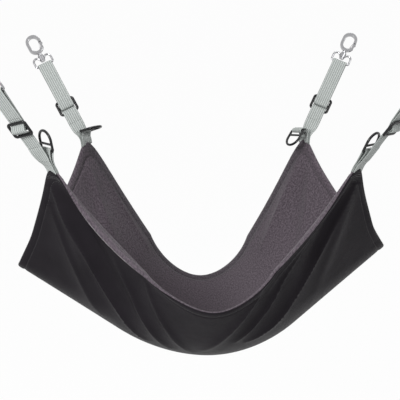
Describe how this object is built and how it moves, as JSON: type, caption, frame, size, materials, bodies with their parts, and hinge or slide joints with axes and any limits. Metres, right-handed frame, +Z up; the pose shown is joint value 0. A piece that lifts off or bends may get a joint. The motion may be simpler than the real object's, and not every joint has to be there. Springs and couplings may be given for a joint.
{
  "type": "cat hammock",
  "caption": "Soft cat hammock: a fleece-lined cloth bed slung by its corners from adjustable webbing straps that end in swivel snap hooks, with a D-ring tab at each corner.",
  "frame": {"origin": "middle of the plane that the inside tops of the hooks share, over the bed", "axes": "+X to the right of the bed as seen from its front, +Y to its back, +Z up"},
  "size_m": [0.5436, 0.4031, 0.4068],
  "materials": {
    "outer_fabric": "black smooth woven cloth",
    "liner_fleece": "dark grey short fleece",
    "webbing": "light grey ribbed webbing",
    "black_hardware": "gloss black",
    "nickel": "bright nickel",
    "spring_steel": "plain steel"
  },
  "bodies": {
    "hammock": {"outer_shell": "outer_fabric", "inner_liner": "liner_fleece", "ring_tab_front_left": "webbing", "ring_tab_front_right": "webbing", "ring_tab_back_left": "webbing", "ring_tab_back_right": "webbing"},
    "strap_front_left": {"strap_front_left": "webbing"},
    "strap_loop_front_left": {"strap_loop_front_left": "webbing"},
    "slider_front_left": {"slider_front_left": "black_hardware"},
    "bail_front_left": {"bail_front_left": "nickel"},
    "hook_front_left": {"hook_front_left": "nickel", "gate_pin_front_left": "spring_steel", "gate_spring_front_left": "spring_steel"},
    "gate_front_left": {"gate_front_left": "nickel"},
    "d_ring_front_left": {"d_ring_front_left": "black_hardware"},
    "strap_front_right": {"strap_front_right": "webbing"},
    "strap_loop_front_right": {"strap_loop_front_right": "webbing"},
    "slider_front_right": {"slider_front_right": "black_hardware"},
    "bail_front_right": {"bail_front_right": "nickel"},
    "hook_front_right": {"hook_front_right": "nickel", "gate_pin_front_right": "spring_steel", "gate_spring_front_right": "spring_steel"},
    "gate_front_right": {"gate_front_right": "nickel"},
    "d_ring_front_right": {"d_ring_front_right": "black_hardware"},
    "strap_back_left": {"strap_back_left": "webbing"},
    "strap_loop_back_left": {"strap_loop_back_left": "webbing"},
    "slider_back_left": {"slider_back_left": "black_hardware"},
    "bail_back_left": {"bail_back_left": "nickel"},
    "hook_back_left": {"hook_back_left": "nickel", "gate_pin_back_left": "spring_steel", "gate_spring_back_left": "spring_steel"},
    "gate_back_left": {"gate_back_left": "nickel"},
    "d_ring_back_left": {"d_ring_back_left": "black_hardware"},
    "strap_back_right": {"strap_back_right": "webbing"},
    "strap_loop_back_right": {"strap_loop_back_right": "webbing"},
    "slider_back_right": {"slider_back_right": "black_hardware"},
    "bail_back_right": {"bail_back_right": "nickel"},
    "hook_back_right": {"hook_back_right": "nickel", "gate_pin_back_right": "spring_steel", "gate_spring_back_right": "spring_steel"},
    "gate_back_right": {"gate_back_right": "nickel"},
    "d_ring_back_right": {"d_ring_back_right": "black_hardware"}
  },
  "joints": [
    {"name": "strap_swing_front_left", "type": "hinge", "parent": "hammock", "child": "strap_front_left", "pos_m": [-0.18575, -0.12351, -0.13329], "axis": [0.602, -0.7984, -0.0128], "range_deg": [-2, 45], "deforming": ["strap_front_left"]},
    {"name": "strap_length_front_left", "type": "slide", "parent": "strap_front_left", "child": "strap_loop_front_left", "axis": [-0.4712, -0.3682, 0.8015], "range_m": [-0.008, 0.02], "deforming": ["strap_front_left", "strap_loop_front_left"]},
    {"name": "slider_travel_front_left", "type": "slide", "parent": "strap_loop_front_left", "child": "slider_front_left", "axis": [-0.4712, -0.3682, 0.8015], "range_m": [-0.008, 0.02]},
    {"name": "bail_swing_front_left", "type": "hinge", "parent": "strap_loop_front_left", "child": "bail_front_left", "pos_m": [-0.24302, -0.16698, -0.03347], "axis": [-0.8291, 0.495, -0.2601], "range_deg": [-70, 70]},
    {"name": "hook_swivel_front_left", "type": "hinge", "parent": "bail_front_left", "child": "hook_front_left", "pos_m": [-0.24919, -0.17181, -0.02297], "axis": [-0.4712, -0.3682, 0.8015], "continuous": true},
    {"name": "gate_opening_front_left", "type": "hinge", "parent": "hook_front_left", "child": "gate_front_left", "pos_m": [-0.26069, -0.17238, -0.0157], "axis": [0.301, 0.787, 0.5385], "range_deg": [0, 25], "stiffness_Nm_per_rad": 0.03, "springref_deg": -11.46, "deforming": ["gate_spring_front_left"]},
    {"name": "d_ring_swing_front_left", "type": "hinge", "parent": "hammock", "child": "d_ring_front_left", "pos_m": [-0.18845, -0.12592, -0.10952], "axis": [-0.602, 0.7984, 0.0128], "range_deg": [0, 95]},
    {"name": "strap_swing_front_right", "type": "hinge", "parent": "hammock", "child": "strap_front_right", "pos_m": [0.18597, -0.14207, -0.13048], "axis": [0.6398, 0.7681, -0.0247], "range_deg": [-2, 45], "deforming": ["strap_front_right"]},
    {"name": "strap_length_front_right", "type": "slide", "parent": "strap_front_right", "child": "strap_loop_front_right", "axis": [0.4886, -0.3817, 0.7846], "range_m": [-0.008, 0.02], "deforming": ["strap_front_right", "strap_loop_front_right"]},
    {"name": "slider_travel_front_right", "type": "slide", "parent": "strap_loop_front_right", "child": "slider_front_right", "axis": [0.4886, -0.3817, 0.7846], "range_m": [-0.008, 0.02]},
    {"name": "bail_swing_front_right", "type": "hinge", "parent": "strap_loop_front_right", "child": "bail_front_right", "pos_m": [0.24469, -0.18783, -0.03255], "axis": [-0.6398, -0.7681, 0.0247], "range_deg": [-70, 70]},
    {"name": "hook_swivel_front_right", "type": "hinge", "parent": "bail_front_right", "child": "hook_front_right", "pos_m": [0.25109, -0.19283, -0.02227], "axis": [0.4886, -0.3817, 0.7846], "continuous": true},
    {"name": "gate_opening_front_right", "type": "hinge", "parent": "hook_front_right", "child": "gate_front_right", "pos_m": [0.25198, -0.20286, -0.01311], "axis": [-0.5932, 0.5141, 0.6195], "range_deg": [0, 25], "stiffness_Nm_per_rad": 0.03, "springref_deg": -11.46, "deforming": ["gate_spring_front_right"]},
    {"name": "d_ring_swing_front_right", "type": "hinge", "parent": "hammock", "child": "d_ring_front_right", "pos_m": [0.19464, -0.1486, -0.10926], "axis": [-0.6398, -0.7681, 0.0247], "range_deg": [-2, 93]},
    {"name": "strap_swing_back_left", "type": "hinge", "parent": "hammock", "child": "strap_back_left", "pos_m": [-0.15354, 0.0943, -0.13231], "axis": [-0.5811, -0.8107, 0.071], "range_deg": [-2, 45], "deforming": ["strap_back_left"]},
    {"name": "strap_length_back_left", "type": "slide", "parent": "strap_back_left", "child": "strap_loop_back_left", "axis": [-0.4572, 0.3974, 0.7956], "range_m": [-0.008, 0.02], "deforming": ["strap_back_left", "strap_loop_back_left"]},
    {"name": "slider_travel_back_left", "type": "slide", "parent": "strap_loop_back_left", "child": "slider_back_left", "axis": [-0.4572, 0.3974, 0.7956], "range_m": [-0.008, 0.02]},
    {"name": "bail_swing_back_left", "type": "hinge", "parent": "strap_loop_back_left", "child": "bail_back_left", "pos_m": [-0.20973, 0.14113, -0.0334], "axis": [0.8892, 0.223, 0.3996], "range_deg": [-70, 70]},
    {"name": "hook_swivel_back_left", "type": "hinge", "parent": "bail_back_left", "child": "hook_back_left", "pos_m": [-0.21572, 0.14634, -0.02298], "axis": [-0.4572, 0.3974, 0.7956], "continuous": true},
    {"name": "gate_opening_back_left", "type": "hinge", "parent": "hook_back_left", "child": "gate_back_left", "pos_m": [-0.21441, 0.15253, -0.01093], "axis": [0.0186, -0.8901, 0.4553], "range_deg": [0, 25], "stiffness_Nm_per_rad": 0.03, "springref_deg": -11.46, "deforming": ["gate_spring_back_left"]},
    {"name": "d_ring_swing_back_left", "type": "hinge", "parent": "hammock", "child": "d_ring_back_left", "pos_m": [-0.15327, 0.09519, -0.11986], "axis": [0.5811, 0.8107, -0.071], "range_deg": [-60, 12]},
    {"name": "strap_swing_back_right", "type": "hinge", "parent": "hammock", "child": "strap_back_right", "pos_m": [0.15282, 0.12336, -0.13581], "axis": [-0.5392, 0.8362, -0.1001], "range_deg": [-2, 45], "deforming": ["strap_back_right"]},
    {"name": "strap_length_back_right", "type": "slide", "parent": "strap_back_right", "child": "strap_loop_back_right", "axis": [0.4356, 0.3787, 0.8166], "range_m": [-0.008, 0.02], "deforming": ["strap_back_right", "strap_loop_back_right"]},
    {"name": "slider_travel_back_right", "type": "slide", "parent": "strap_loop_back_right", "child": "slider_back_right", "axis": [0.4356, 0.3787, 0.8166], "range_m": [-0.008, 0.02]},
    {"name": "bail_swing_back_right", "type": "hinge", "parent": "strap_loop_back_right", "child": "bail_back_right", "pos_m": [0.20621, 0.16789, -0.03431], "axis": [0.8964, -0.2647, -0.3554], "range_deg": [-70, 70]},
    {"name": "hook_swivel_back_right", "type": "hinge", "parent": "bail_back_right", "child": "hook_back_right", "pos_m": [0.21192, 0.17286, -0.02362], "axis": [0.4356, 0.3787, 0.8166], "continuous": true},
    {"name": "gate_opening_back_right", "type": "hinge", "parent": "hook_back_right", "child": "gate_back_right", "pos_m": [0.22351, 0.17524, -0.01688], "axis": [-0.0816, -0.8869, 0.4547], "range_deg": [0, 25], "stiffness_Nm_per_rad": 0.03, "springref_deg": -11.46, "deforming": ["gate_spring_back_right"]},
    {"name": "d_ring_swing_back_right", "type": "hinge", "parent": "hammock", "child": "d_ring_back_right", "pos_m": [0.14188, 0.11764, -0.1246], "axis": [0.5392, -0.8362, 0.1001], "range_deg": [-60, 44]}
  ],
  "couplings": [
    {"joint": "slider_travel_front_left", "follows": "strap_length_front_left", "ratio": 1},
    {"joint": "slider_travel_front_right", "follows": "strap_length_front_right", "ratio": 1},
    {"joint": "slider_travel_back_left", "follows": "strap_length_back_left", "ratio": 1},
    {"joint": "slider_travel_back_right", "follows": "strap_length_back_right", "ratio": 1}
  ]
}
